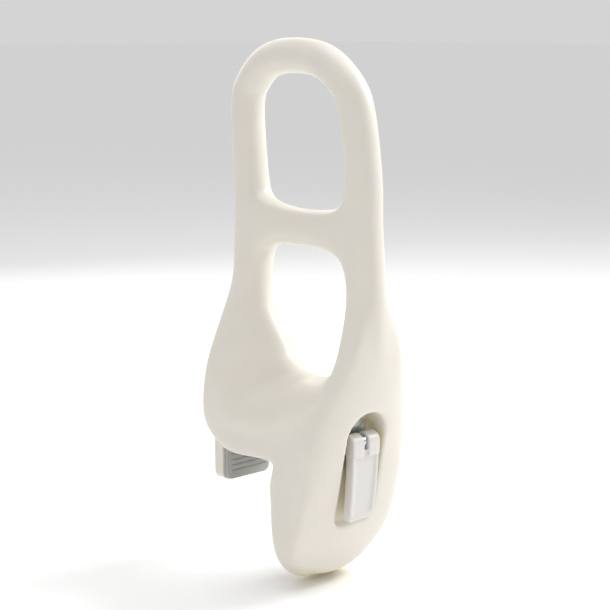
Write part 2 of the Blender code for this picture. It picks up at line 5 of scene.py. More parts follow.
import bmesh
import bpy
import numpy as np
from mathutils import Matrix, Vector
from mathutils.bvhtree import BVHTree


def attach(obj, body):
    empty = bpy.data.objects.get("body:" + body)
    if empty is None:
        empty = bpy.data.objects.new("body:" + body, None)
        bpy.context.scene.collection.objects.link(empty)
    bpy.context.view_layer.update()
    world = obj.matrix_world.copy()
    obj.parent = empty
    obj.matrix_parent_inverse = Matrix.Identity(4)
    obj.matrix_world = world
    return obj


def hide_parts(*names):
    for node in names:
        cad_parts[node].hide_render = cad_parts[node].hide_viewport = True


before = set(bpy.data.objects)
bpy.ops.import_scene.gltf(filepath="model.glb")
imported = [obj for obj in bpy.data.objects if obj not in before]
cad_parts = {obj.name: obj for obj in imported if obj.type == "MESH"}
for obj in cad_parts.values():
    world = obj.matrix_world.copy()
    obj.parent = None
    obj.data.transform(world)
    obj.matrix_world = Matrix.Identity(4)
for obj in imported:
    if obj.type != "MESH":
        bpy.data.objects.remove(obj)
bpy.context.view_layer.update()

MM = 0.001
GAP = 0.3            # gap left between touching pieces, mm

# ---- driving dimensions, mm -------------------------------------------------------------------
WALL = 86.0          # thickness of the tub's wall that the clamp is closed on
JAW_FACE_Y = 42.5    # inner face of that wall
LEG_FACE_Y = JAW_FACE_Y - WALL
TUBE_R = 15.5        # hand loop and crossbar, a 31 mm grip
BAR_Z = 200.7        # crossbar's centre line
ARCH = dict(y=-31.5, z=270.0, half_width=71.5, height=76.0, lean=8.0, power=0.8)
SHELL = 3.5          # wall of the moulded body
SEAT_Z = 3.0         # underside of the saddle, above its pad
ROD_Z = 25.0         # clamp rod's axis
ROD_R = 4.0
ROD_END_Y = 91.0
PIVOT_Y = -104.5     # lever's pivot
CAM_CLOSED = 10.0    # pivot to wear plate with the lever down
CAM_OPEN = 7.5       # pivot to wear plate with the lever up
LEVER_TRAVEL = radians(105.0)
RECESS_HALF = 22.0
RECESS_TOP = 52.0
RECESS_BOTTOM = -51.0
RECESS_FLOOR_Y = -89.5
POCKET_HALF = 31.0   # pocket for the jaw in the far face
POCKET_TOP = 49.0
POCKET_FLOOR_Y = 33.0
LEG_BACK_Y = -46.3   # floor of the shallow seat for the leg's pad
PAD_SEAT_Z = 3.9     # floor of the shallow seat for the saddle's pad
PAD_ROOM = 0.8       # gap round a pad in its seat
BARREL_R = 7.0       # lever's barrel
LEVER_HALF = 15.4
SLOT_HALF = 2.6      # slot between the barrel's halves
PANEL_DEPTH = 1.3    # how far the lever's panel lies behind its ribs
RIB = 3.0
RIB_SLOPE = 0.8
LEVER_ROWS = ((18.6, 15.0, -109.8, -102.0), (15.0, 15.2, -110.2, -101.2), (11.5, 15.2, -110.3, -101.0),
              (2.0, 15.1, -109.9, -100.6), (-10.0, 14.9, -109.0, -99.8), (-22.0, 14.6, -107.9, -98.8),
              (-35.0, 14.2, -106.0, -97.2), (-39.0, 14.0, -105.3, -96.7), (-42.5, 13.5, -104.4, -96.8),
              (-44.2, 12.2, -103.2, -97.8))   # height, half width, front and back of the arm
PIN_R = 2.7
CAM_CLEARANCE = 0.15 # left between the cam and the wear plate
TANG_HALF = 2.2      # flattened front end of the rod, between the lever's cheeks
TANG_END_Y = -92.5
BUSH_R = 7.0
BUSH_FLANGE = 1.35   # thickness of the bush's flange
BUSH_END_Y = -85.9
TUBE_OUTER_R = 7.5   # crush tube
TUBE_INNER_R = 5.2
BLOCK_END_Y = 10.0   # guide block behind the pocket's floor
FLANGE_THICK = 3.0
SCREW_R = 1.5
SCREW_HEAD_R = 2.8
SCREW_PLACES = ((-27.2, 12.2), (27.2, 12.2), (-27.2, 44.8), (27.2, 44.8))
GUIDE_X = 16.0
GUIDE_Z = 36.0
GUIDE_R = 3.0
GUIDE_END_Y = -13.0
JAW_FRONT_Y = 47.0
JAW_BACK_Y = 58.0
KNOB_R = 14.0
KNOB_LOW_Y = 60.1
KNOB_HIGH_Y = 73.1
KNOB_LOBES = 7
LOBE_DEPTH = 1.1
THREAD_LOW_Y = 38.0
THREAD_HIGH_Y = 87.0
THREAD_DEPTH = 0.38
THREAD_PITCH = 3.0
NUT_R = 6.5
CLIP_Y = 88.0
RUN = 0.5            # play of the rod in its guides, per side

# upright slabs, symmetric in x: half width, low edge, high edge, corner radius
SADDLE_PAD = (38.0, -38.0, 18.0, 6.0)
LEG_PAD = (32.0, -66.0, -18.0, 6.0)
WEAR_PLATE = (15.5, 10.0, 41.0, 3.0)
GUIDE_BLOCK = (24.0, 15.0, 43.0, 2.5)
GUIDE_FLANGE = (30.4, 8.6, 48.3, 3.0)
JAW_PLATE = (27.0, -37.0, 46.0, 8.0)
JAW_PAD = (25.0, -36.0, -4.0, 6.0)

# ---- how the looks are meshed; lengths in mm --------------------------------------------------
FORM_LEVELS = 4      # subdivisions of the smooth form that the body's surface goes back onto
SHELL_LEVELS = 3     # subdivisions of the body that the recess and the pocket are cut from
BODY_CELL = 1.3      # cell of the body's even mesh
LEVER_CELL = 0.42
FAR = 20.0           # distances to the cut-outs are measured no further than this
LIP_REACH = 12.0     # the recess's lip is softened this far round
LIP_ROUNDS = 16
PLAIN_ROUNDS = 6
LEVER_ROUNDS = 11
GROOVE_PITCH = 5.0   # grooves across the pads
GROOVE_HALF = 0.7
GROOVE_DEPTH = 0.8
RECESS_BLEND = (5.5, 4.0)    # distance at which the smooth form starts to hold, and width of the change
POCKET_BLEND = (3.0, 3.0)
FORM_REACH = 4.0

def add_object(name, mesh, mat=None):
    obj = bpy.data.objects.new(name, mesh)
    bpy.context.scene.collection.objects.link(obj)
    if mat:
        mesh.materials.append(mat)
    return obj


# ---- rail body: half cage of points that lie on the finished surface ---------------------------
ROWS = ("O", "O2", "P", "M", "Q", "S", "R")     # across a tube: outer rim, side, inner rim


def tube_station(y, z, normal_y, normal_z, half_width, half_thick):
    """Seven points round half of a tube; the normal points away from the window."""
    points = {}
    for k, row in enumerate(ROWS):
        angle = pi * k / 6
        across = half_width * cos(angle)
        points[row] = (half_thick * sin(angle), y + normal_y * across, z + normal_z * across)
    return points


def arch_point(phi):
    """Centre line of the hand loop's top, a superellipse that leans towards the tub."""
    across = math.copysign(abs(cos(phi)) ** ARCH["power"], cos(phi))
    up = sin(phi) ** ARCH["power"]
    y = ARCH["y"] + ARCH["half_width"] * across + ARCH["lean"] * up
    return Vector((y, ARCH["z"] + ARCH["height"] * up))


def arch_stations():
    """Stations over the top of the hand loop, from the near arm to the far arm."""
    stations = []
    for degrees in (162, 139, 114, 90, 66, 41, 18):
        phi = radians(degrees)
        along = (arch_point(phi + 0.02) - arch_point(phi - 0.02)).normalized()
        y, z = arch_point(phi)
        stations.append(tube_station(y, z, along.y, -along.x, TUBE_R - 0.6, TUBE_R - 0.5))
    return stations


def corner(points, q, s, r):
    """Bend the inner rows of a station round a window's corner: (y, z) of rows Q, S and R."""
    for row, (y, z) in zip("QSR", (q, s, r)):
        points[row] = (points[row][0], y, z)
    return points


def body_stations():
    r = TUBE_R
    st = {}
    st["N0"] = tube_station(-107.0, BAR_Z, -1, 0, r, r)
    st["A1"] = corner(tube_station(-106.0, 223.0, -1, 0, r, r),
                      (-88.5, 218.3), (-84.3, 222.7), (-83.0, 224.0))
    st["A2"] = tube_station(-104.6, 250.0, -1, 0, r, r)
    for k, points in enumerate(arch_stations()):
        st["A%d" % (k + 3)] = points
    st["A10"] = tube_station(37.0, 248.0, 1, 0, r, r)
    st["A11"] = corner(tube_station(35.5, 223.0, 1, 0, r, r),
                       (18.5, 218.3), (14.3, 222.7), (13.0, 224.0))
    st["F0"] = tube_station(35.0, BAR_Z, 1, 0, r + 0.5, r + 0.5)
    st["F1"] = corner(tube_station(35.0, 178.0, 1, 0, r + 1, r + 1),
                      (16.5, 182.5), (12.0, 178.0), (10.5, 176.5))
    st["N1"] = corner(tube_station(-108.0, 178.0, -1, 0, r + 0.5, r + 0.5),
                      (-90.1, 182.7), (-86.1, 178.1), (-84.7, 176.7))
    st["N2"] = tube_station(-109.7, 147.0, -1, 0, 16.5, 18.0)
    st["N3"] = dict(O=(0, -127.5, 110), O2=(14, -126, 110), P=(26, -123, 110), M=(28.5, -114, 111),
                    Q=(25, -104, 112), S=(14, -94, 112), R=(0, -88, 113))
    st["N4"] = dict(O=(0, -122.5, 74), O2=(21, -121, 73), P=(39.5, -115, 72))
    # round the bottom of the lower window: M mid side, Q crease, S and R down the flare
    st["B1"] = dict(M=(46, -100, 62), Q=(41, -102, 79), S=(23, -90, 81), R=(0, -79, 84))
    st["B2"] = dict(M=(49.5, -74, 42), Q=(47, -74, 58.5), S=(26, -69, 71), R=(0, -66, 75.5))
    st["B3"] = dict(M=(50, -45, 28), Q=(49, -45, 45.5), S=(27, -48, 63.5), R=(0, -52, 72))
    st["B4"] = dict(M=(50, -15, 21), Q=(49.5, -22, 39.5), S=(27, -30, 58.5), R=(0, -39.5, 73))
    st["B5"] = dict(M=(50, 14, 22), Q=(49.5, 0, 40), S=(27, -16, 59.5), R=(0, -30, 75))
    st["B6"] = dict(M=(50, 28, 28), Q=(49, 9, 46), S=(27, -9, 60), R=(0, -23, 78),
                    P=(46, 41, 14), O2=(26, 44, 12.5), O=(0, 44.5, 12))
    st["B7"] = dict(M=(49.5, 38, 46), Q=(47, 17, 59), S=(26, -2, 69), R=(0, -17, 82),
                    P=(47, 49, 34), O2=(26, 53, 34), O=(0, 53.5, 34))
    st["F4"] = dict(M=(47, 40, 70), Q=(43.5, 22, 76), S=(24, 4, 83), R=(0, -11, 88),
                    P=(42.5, 49.5, 70), O2=(24, 54, 70), O=(0, 54.5, 70))
    st["F3"] = dict(O=(0, 55, 96), O2=(18, 54.5, 96), P=(33, 50, 96), M=(37, 40, 96),
                    Q=(30, 26, 97), S=(16, 9, 100), R=(0, -2, 102))
    st["F2b"] = dict(O=(0, 54, 125), O2=(12.5, 53, 125), P=(22, 48, 125), M=(25, 39, 125),
                     Q=(20, 29, 125), S=(11, 20, 126), R=(0, 15, 126))
    st["F2"] = tube_station(35.3, 151.0, 1, 0, 17.5, 18.0)
    # leg rows: O, O2, P front; L1, L2 side; K, K2, K0 tub side
    st["L0"] = dict(O=(0, -114.5, 40), O2=(27, -112.5, 38), P=(51, -104.5, 34), L1=(52.5, -86, 26),
                    L2=(51, -62, 14), K=(49, -45, SEAT_Z), K2=(26, -45.5, SEAT_Z), K0=(0, -45.5, SEAT_Z))
    st["L1"] = dict(O=(0, -107.5, 5), O2=(28, -106, 5), P=(52.5, -101, 4), L1=(54, -84, 2),
                    L2=(54, -63, -4), K=(52, -47, -13), K2=(26, -45.5, -13), K0=(0, -45.5, -13))
    st["L2"] = dict(O=(0, -100.5, -26), O2=(29, -99.5, -26), P=(53.5, -94.5, -27), L1=(55, -79, -28),
                    L2=(55, -62, -30), K=(52, -47.5, -33), K2=(26, -45.5, -33), K0=(0, -45.5, -33))
    st["L3"] = dict(O=(0, -92.5, -54), O2=(28, -91.5, -55), P=(51.5, -85.5, -57), L1=(54, -73, -58),
                    L2=(54, -60, -60), K=(50.5, -48, -61), K2=(26, -45.5, -61), K0=(0, -45.5, -61))
    st["L4"] = dict(O=(0, -83, -81), O2=(22, -81.5, -80.5), P=(42, -76, -80), L1=(46.5, -68, -82),
                    L2=(46.5, -58, -84), K=(42, -48.5, -86), K2=(22, -46, -89), K0=(0, -45.8, -91))
    st["L5"] = dict(O=(0, -75, -96), O2=(13, -74.5, -95), P=(26, -71, -93.5), L1=(31, -66, -95),
                    L2=(32, -59, -97), K=(28, -52.5, -100), K2=(14, -50.5, -103), K0=(0, -50, -104))
    # saddle underside and crossbar
    st["S1"] = dict(K=(48, -14, SEAT_Z), K2=(26, -14, SEAT_Z), K0=(0, -14, SEAT_Z))
    st["S2"] = dict(K=(48, 17, SEAT_Z), K2=(26, 17, SEAT_Z), K0=(0, 17, SEAT_Z))
    for name, y in (("C1", -84.0), ("C2", -52.0), ("C3", -18.0), ("C4", 12.0)):
        st[name] = dict(M=(r, y, BAR_Z), UQ=(r * 0.87, y, BAR_Z + 8), US=(r * 0.5, y, BAR_Z + 14.2),
                        UR=(0, y, BAR_Z + 16.2), LQ=(r * 0.87, y, BAR_Z - 8.3),
                        LS=(r * 0.5, y, BAR_Z - 14.4), LR=(0, y, BAR_Z - 16.4))
    return st


def body_faces():
    """Quads of the half cage, as lists of (station, row)."""
    quads = []

    def strip(a, b, rows_a, rows_b=None):
        rows_b = rows_b or rows_a
        for k in range(len(rows_a) - 1):
            quads.append([(a, rows_a[k]), (a, rows_a[k + 1]), (b, rows_b[k + 1]), (b, rows_b[k])])

    outer = ["N3", "N2", "N1", "N0"] + ["A%d" % k for k in range(1, 12)]
    outer += ["F0", "F1", "F2", "F2b", "F3", "F4"]
    for a, b in zip(outer, outer[1:]):
        whole = "N0" not in (a, b) and "F0" not in (a, b)
        strip(a, b, ROWS if whole else ROWS[:4])
    # the crossbar joins the arms at N0 and F0
    for arm, up, down, bar in (("N0", "A1", "N1", "C1"), ("F0", "A11", "F1", "C4")):
        quads.append([(arm, "M"), (up, "M"), (up, "Q"), (bar, "M")])
        quads.append([(arm, "M"), (bar, "M"), (down, "Q"), (down, "M")])
    upper = [("A1", "Q", "S", "R"), ("C2", "UQ", "US", "UR"),
             ("C3", "UQ", "US", "UR"), ("A11", "Q", "S", "R")]
    lower = [("N1", "Q", "S", "R"), ("C2", "LQ", "LS", "LR"),
             ("C3", "LQ", "LS", "LR"), ("F1", "Q", "S", "R")]
    bars = ["C1", "C2", "C3", "C4"]
    for side in (upper, lower):
        for k in range(3):
            a, b = side[k], side[k + 1]
            quads.append([(bars[k], "M"), (a[0], a[1]), (b[0], b[1]), (bars[k + 1], "M")])
            for row in (1, 2):
                quads.append([(a[0], a[row]), (a[0], a[row + 1]), (b[0], b[row + 1]), (b[0], b[row])])
    # ring round the bottom of the lower window
    ring = ["N3", "B1", "B2", "B3", "B4", "B5", "B6", "B7", "F4"]
    for a, b in zip(ring, ring[1:]):
        strip(a, b, ("M", "Q", "S", "R"))
    # front of the body, and the band between the ring and the leg or the saddle
    strip("N3", "N4", ("O", "O2", "P"))
    strip("N4", "L0", ("O", "O2", "P"))
    quads.append([("N3", "P"), ("N4", "P"), ("B1", "M"), ("N3", "M")])
    quads.append([("N4", "P"), ("L0", "P"), ("L0", "L1"), ("B1", "M")])
    quads.append([("B1", "M"), ("L0", "L1"), ("L0", "L2"), ("B2", "M")])
    quads.append([("B2", "M"), ("L0", "L2"), ("L0", "K"), ("B3", "M")])
    quads.append([("B3", "M"), ("L0", "K"), ("S1", "K"), ("B4", "M")])
    quads.append([("B4", "M"), ("S1", "K"), ("S2", "K"), ("B5", "M")])
    quads.append([("B5", "M"), ("S2", "K"), ("B6", "P"), ("B6", "M")])
    strip("B6", "B7", ("O", "O2", "P", "M"))
    strip("B7", "F4", ("O", "O2", "P", "M"))
    under = ("K", "K2", "K0")
    strip("L0", "S1", under)
    strip("S1", "S2", under)
    strip("S2", "B6", under, ("P", "O2", "O"))
    leg = ("O", "O2", "P", "L1", "L2", "K", "K2", "K0")
    for a, b in zip(("L0", "L1", "L2", "L3", "L4"), ("L1", "L2", "L3", "L4", "L5")):
        strip(a, b, leg)
    for k in range(3):
        quads.append([("L5", leg[k]), ("L5", leg[k + 1]), ("L5", leg[6 - k]), ("L5", leg[7 - k])])
    return quads


def limit_points(mesh_points, quads, neighbours):
    """Where the subdivision surface of an all-quad cage carries each of its points."""
    n_points = len(mesh_points)
    diagonals = [Vector() for _ in range(n_points)]
    counts = [0] * n_points
    for quad in quads:
        for k in range(4):
            diagonals[quad[k]] += mesh_points[quad[(k + 2) % 4]]
            counts[quad[k]] += 1
    result = []
    for i, point in enumerate(mesh_points):
        n = counts[i]
        edges = Vector()
        for j in neighbours[i]:
            edges += mesh_points[j]
        result.append((point * n * n + edges * 4 + diagonals[i]) / (n * (n + 5)))
    return result


def station_mesh():
    """All station points, mirrored, in metres, and the quads between them."""
    stations = body_stations()
    index = {}
    points = []
    quads = []
    for half in (1, -1):
        for quad in body_faces():
            corners = []
            for name, row in quad:
                x, y, z = stations[name][row]
                key = (name, row, half if x > 0.001 else 0)
                if key not in index:
                    index[key] = len(points)
                    points.append(Vector((x * half, y, z)) * MM)
                corners.append(index[key])
            quads.append(corners)
    return points, quads


def body_cage():
    """Points and quads of the cage, corrected so that its subdivision surface meets the stations."""
    points, quads = station_mesh()
    neighbours = [set() for _ in points]
    for quad in quads:
        for k in range(4):
            neighbours[quad[k]].update((quad[(k + 1) % 4], quad[(k + 3) % 4]))
    cage = list(points)
    for _ in range(30):
        carried = limit_points(cage, quads, neighbours)
        cage = [c + (target - now) * 0.8 for c, target, now in zip(cage, points, carried)]
    return cage, quads


def face_outwards(mesh):
    bm = bmesh.new()
    bm.from_mesh(mesh)
    bmesh.ops.recalc_face_normals(bm, faces=bm.faces)
    bm.to_mesh(mesh)
    bm.free()


def mesh_object(name, points, faces, mat=None):
    """An object from points in mm and its faces, with the faces turned outwards."""
    mesh = bpy.data.meshes.new(name)
    mesh.from_pydata([Vector(p) * MM for p in points], [], faces)
    face_outwards(mesh)
    return add_object(name, mesh, mat)


def prism(name, outline, axis, low, high, mat=None):
    """Extrude a closed outline of (u, v) points along axis X, Y or Z, from low to high, in mm."""
    def place(u, v, w):
        return {"X": (w, u, v), "Y": (u, w, v), "Z": (u, v, w)}[axis]

    n = len(outline)
    points = [place(u, v, w) for w in (low, high) for u, v in outline]
    faces = [list(range(n)), list(range(n, 2 * n))]
    faces += [[k, (k + 1) % n, n + (k + 1) % n, n + k] for k in range(n)]
    return mesh_object(name, points, faces, mat)


def circle(u, v, radius, steps=28):
    turn = 2 * pi / steps
    return [(u + radius * cos(turn * k), v + radius * sin(turn * k)) for k in range(steps)]


def rounded_box(u_low, u_high, v_low, v_high, radius, steps=4):
    """Outline of a rectangle with round corners."""
    points = []
    for u, v, start in ((u_high - radius, v_high - radius, 0), (u_low + radius, v_high - radius, 90),
                        (u_low + radius, v_low + radius, 180), (u_high - radius, v_low + radius, 270)):
        for k in range(steps + 1):
            angle = radians(start + 90 * k / steps)
            points.append((u + radius * cos(angle), v + radius * sin(angle)))
    return points


def slab(shape, grow=0.0, steps=4):
    """Outline of one of the slabs, widened all round by grow."""
    half, low, high, radius = shape
    return rounded_box(-half - grow, half + grow, low - grow, high + grow, radius + grow, steps)


def hide(obj):
    obj.hide_render = True
    obj.display_type = "WIRE"
    return obj


def boolean(obj, operation, other):
    mod = obj.modifiers.new(other.name, "BOOLEAN")
    mod.operation = operation
    mod.solver = "EXACT"
    mod.object = hide(other)


def cut(obj, *cutters):
    for cutter in cutters:
        boolean(obj, "DIFFERENCE", cutter)


def unite(obj, *others):
    for other in others:
        boolean(obj, "UNION", other)


def recess_block(name, grow):
    """The lever's recess as a solid: rows of half width and floor, from the arched top down."""
    arch_z = RECESS_TOP - RECESS_HALF
    rows = [(arch_z + (RECESS_HALF + grow) * sin(radians(a)), (RECESS_HALF + grow) * cos(radians(a)),
             RECESS_FLOOR_Y) for a in (88, 70, 52, 35, 17, 0)]
    rows += [(6.0, RECESS_HALF + grow, RECESS_FLOOR_Y), (2.0, RECESS_HALF + grow, -95.0),
             (-36.0, RECESS_HALF + grow, -88.5), (-43.0, RECESS_HALF - 1.0 + grow, -88.5),
             (-48.5 - grow, RECESS_HALF - 4.5 + grow, -90.5),
             (RECESS_BOTTOM - grow, RECESS_HALF - 10.0 + grow, -93.3)]
    points = []
    for z, half, floor in rows:
        points += [(-half, -145.0, z), (half, -145.0, z), (half, floor + grow, z), (-half, floor + grow, z)]
    faces = [[0, 1, 2, 3], [4 * len(rows) - 4 + k for k in range(4)]]
    for r in range(len(rows) - 1):
        a = 4 * r
        faces += [[a + k, a + (k + 1) % 4, a + 4 + (k + 1) % 4, a + 4 + k] for k in range(4)]
    return mesh_object(name, points, faces)


def pocket_block(name, grow):
    """The jaw's pocket in the far face, open towards the tub and downwards."""
    outline = [(-POCKET_HALF - grow, -30.0), (POCKET_HALF + grow, -30.0)]
    outline += [(POCKET_HALF + grow, POCKET_TOP + grow - 2), (POCKET_HALF + grow - 2, POCKET_TOP + grow)]
    outline += [(-POCKET_HALF - grow + 2, POCKET_TOP + grow), (-POCKET_HALF - grow, POCKET_TOP + grow - 2)]
    return prism(name, outline, "Y", POCKET_FLOOR_Y - grow, 80.0)


def cam_profile():
    """Outline (y, z) of a lever cheek round its pivot.

    The cam's distance to the wear plate falls evenly with the lever's angle, so that the pull on the
    rod is in proportion to the angle; the rest is the round barrel and the root of the arm."""
    slope = (CAM_OPEN - CAM_CLOSED) / LEVER_TRAVEL
    points = []
    steps = 12
    for k in range(steps + 1):
        angle = LEVER_TRAVEL * k / steps
        reach = CAM_CLOSED + slope * angle
        points.append((reach * cos(angle) - slope * sin(angle), reach * sin(angle) + slope * cos(angle)))
    for degrees in (118, 133, 149, 165, 180):
        angle = radians(degrees)
        points.append((BARREL_R * cos(angle), BARREL_R * sin(angle)))
    points += [(-6.9, -6.0), (-6.6, -12.0), (2.4, -12.0), (6.5, -8.0), (9.4, -4.5)]
    return [(PIVOT_Y + y, ROD_Z + z) for y, z in points]


def cam_lever(mat):
    """Two barrel cheeks and an arm with a sunk front panel between raised ribs."""
    rows = []
    for k, (z, half, front, back) in enumerate(LEVER_ROWS):
        sunk = PANEL_DEPTH if 0 < k < len(LEVER_ROWS) - 3 else 0.0
        panel = half - RIB - RIB_SLOPE
        rows.append([(-half, front, z), (-half + RIB, front, z), (-panel, front + sunk, z),
                     (panel, front + sunk, z), (half - RIB, front, z), (half, front, z),
                     (half, back, z), (-half, back, z)])
    n = len(rows[0])
    points = [p for row in rows for p in row]
    faces = [list(range(n)), [len(points) - n + k for k in range(n)]]
    for r in range(len(rows) - 1):
        faces += [[n * r + k, n * r + (k + 1) % n, n * r + n + (k + 1) % n, n * r + n + k] for k in range(n)]
    lever = mesh_object("cam_lever", points, faces, mat)
    outline = cam_profile()
    unite(lever, prism("cheek_left", outline, "X", -LEVER_HALF, -SLOT_HALF),
          prism("cheek_right", outline, "X", SLOT_HALF, LEVER_HALF))
    cut(lever, prism("pin_hole", circle(PIVOT_Y, ROD_Z, PIN_R + GAP, 20), "X", -15.0, 15.0))
    return lever


# ---- materials ----------------------------------------------------------------------------------
def moulded(name, colour, rough, grain=900.0, grain_depth=0.00004, mottle=0.03, sss=0.0, metal=0.0, wear=0.0,
            stretch=(1.0, 1.0, 1.0), painted_hollow_shade=None):
    """A procedural finish: mottled colour, uneven roughness, fine surface grain, paler worn edges and, when a
    tint for the hollows is given, painted shade: the colour turns to that tint where ambient occlusion finds
    recesses.
    """
    mat = bpy.data.materials.new(name)
    mat.use_nodes = True
    tree = mat.node_tree
    shader = tree.nodes["Principled BSDF"]
    shader.inputs["Metallic"].default_value = metal
    shader.inputs["Subsurface Weight"].default_value = sss
    shader.inputs["Subsurface Radius"].default_value = (1.0, 0.75, 0.45)
    shader.inputs["Subsurface Scale"].default_value = 0.003

    def node(kind, **values):
        made = tree.nodes.new(kind)
        for key, value in values.items():
            if isinstance(value, (int, float, tuple)) and key in made.inputs:
                made.inputs[key].default_value = value
            else:
                setattr(made, key, value)
        return made

    coords = node("ShaderNodeTexCoord")
    mapping = node("ShaderNodeMapping", Scale=stretch)
    tree.links.new(coords.outputs["Object"], mapping.inputs["Vector"])

    def noise(scale, detail):
        made = node("ShaderNodeTexNoise", Scale=scale, Detail=detail)
        tree.links.new(mapping.outputs["Vector"], made.inputs["Vector"])
        return made.outputs["Fac"]

    def ramp(source, low, high, a, b):
        made = node("ShaderNodeMapRange")
        made.inputs["From Min"].default_value = low
        made.inputs["From Max"].default_value = high
        made.inputs["To Min"].default_value = a
        made.inputs["To Max"].default_value = b
        tree.links.new(source, made.inputs["Value"])
        return made.outputs["Result"]

    def blend(factor, a, b):
        made = node("ShaderNodeMix", data_type="RGBA")
        tree.links.new(factor, made.inputs["Factor"])
        for socket, value in (("A", a), ("B", b)):
            target = [i for i in made.inputs if i.name == socket and i.type == "RGBA"][0]
            if isinstance(value, tuple):
                target.default_value = (*value, 1.0)
            else:
                tree.links.new(value, target)
        return [o for o in made.outputs if o.type == "RGBA"][0]

    dark = tuple(c * (1 - mottle) for c in colour)
    light = tuple(min(1.0, c * (1 + mottle)) for c in colour)
    paint = blend(ramp(noise(28.0, 4.0), 0.35, 0.65, 0.0, 1.0), dark, light)
    # painted shade: where the ambient occlusion is deep, in the recess, the pocket and other hollows, the
    # colour is blended towards the given yellower tint
    if painted_hollow_shade:
        hollow = node("ShaderNodeAmbientOcclusion", samples=8, Distance=0.022)
        paint = blend(ramp(hollow.outputs["AO"], 0.18, 0.72, 1.0, 0.0), paint, painted_hollow_shade)
    if wear:
        geometry = node("ShaderNodeNewGeometry")
        edge = ramp(geometry.outputs["Pointiness"], 0.53, 0.60, 0.0, wear)
        paint = blend(edge, paint, tuple(min(1.0, c * 1.12 + 0.03) for c in colour))
    tree.links.new(paint, shader.inputs["Base Color"])
    tree.links.new(ramp(noise(65.0, 3.0), 0.3, 0.7, rough - 0.05, rough + 0.05), shader.inputs["Roughness"])
    bump = node("ShaderNodeBump", Strength=0.35, Distance=grain_depth)
    tree.links.new(noise(grain, 2.0), bump.inputs["Height"])
    tree.links.new(bump.outputs["Normal"], shader.inputs["Normal"])
    return mat


# the cream body gets painted shade in its hollows: a yellower tint where ambient occlusion is deep
CREAM = moulded("rail_plastic_look", (0.760, 0.722, 0.650), 0.42, grain=1400.0, mottle=0.012, sss=0.15,
                wear=0.25, painted_hollow_shade=(0.84, 0.76, 0.52))
WHITE = moulded("lever_plastic_look", (0.71, 0.69, 0.67), 0.36, grain=1600.0, mottle=0.01, sss=0.15, wear=0.5)
NYLON = moulded("nylon_look", (0.70, 0.68, 0.61), 0.45, grain=1200.0, mottle=0.03, sss=0.10, wear=0.4)
STEEL = moulded("zinc_look", (0.50, 0.53, 0.57), 0.30, grain=500.0, grain_depth=0.00003, mottle=0.08,
                metal=1.0, wear=0.6, stretch=(1.0, 8.0, 1.0))
RUBBER = moulded("rubber_look", (0.42, 0.42, 0.40), 0.72, grain=1800.0, grain_depth=0.00008, mottle=0.10,
                 wear=0.3)
BRASS = moulded("brass_look", (0.70, 0.50, 0.22), 0.30, grain=700.0, grain_depth=0.00002, mottle=0.06,
                metal=1.0, wear=0.5)


# ---- mesh tools ---------------------------------------------------------------------------------
def freeze(obj):
    """Apply all modifiers and delete the cutters they used."""
    cutters = [m.object for m in obj.modifiers if m.type == "BOOLEAN"]
    graph = bpy.context.evaluated_depsgraph_get()
    mesh = bpy.data.meshes.new_from_object(obj.evaluated_get(graph))
    mats = list(obj.data.materials)
    obj.modifiers.clear()
    obj.data = mesh
    mesh.materials.clear()
    for mat in mats:
        mesh.materials.append(mat)
    mesh.polygons.foreach_set("material_index", [0] * len(mesh.polygons))
    for cutter in cutters:
        bpy.data.objects.remove(cutter, do_unlink=True)
    return obj


def finish_piece(obj, body, slot, *nodes, sharp=35.0):
    """Smooth shading with crisp edges, and the piece's place in the frame."""
    obj.data.shade_smooth()
    obj.data.set_sharp_from_angle(angle=radians(sharp))
    obj.hide_render = False
    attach(obj, body)
    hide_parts(*nodes)
    return obj


def soften(obj, width, segments=3, angle=35.0):
    """Round the edges of a piece, in mm."""
    bevel = obj.modifiers.new("rounding", "BEVEL")
    bevel.width = width * MM
    bevel.segments = segments
    bevel.limit_method = "ANGLE"
    bevel.angle_limit = radians(angle)
    bevel.use_clamp_overlap = True
    return obj


def turned(name, profile, mat, steps=56):
    """Revolve a closed profile of (radius, y) round the rod."""
    points = []
    for k in range(steps):
        angle = 2 * pi * k / steps
        points += [(radius * sin(angle), y, ROD_Z + radius * cos(angle)) for radius, y in profile]
    n = len(profile)
    faces = []
    for k in range(steps):
        a = k * n
        b = (k + 1) % steps * n
        faces += [[a + j, a + (j + 1) % n, b + (j + 1) % n, b + j] for j in range(n)]
    return mesh_object(name, points, faces, mat)


def spun(name, profile, mat, x=0.0, z=ROD_Z, steps=56, twist=None):
    """Revolve an open profile that starts and ends on the axis; twist gives a thread's depth."""
    points = [(x, profile[0][1], z), (x, profile[-1][1], z)]
    inner = profile[1:-1]
    n = len(inner)
    for k in range(steps):
        angle = 2 * pi * k / steps
        for radius, y in inner:
            r = radius - (twist(angle, y, radius) if twist else 0.0)
            points.append((x + r * sin(angle), y, z + r * cos(angle)))
    faces = []
    for k in range(steps):
        a = 2 + k * n
        b = 2 + (k + 1) % steps * n
        faces += [[a + j, a + j + 1, b + j + 1, b + j] for j in range(n - 1)]
        faces += [[0, a, b], [1, b + n - 1, a + n - 1]]
    return mesh_object(name, points, faces, mat)


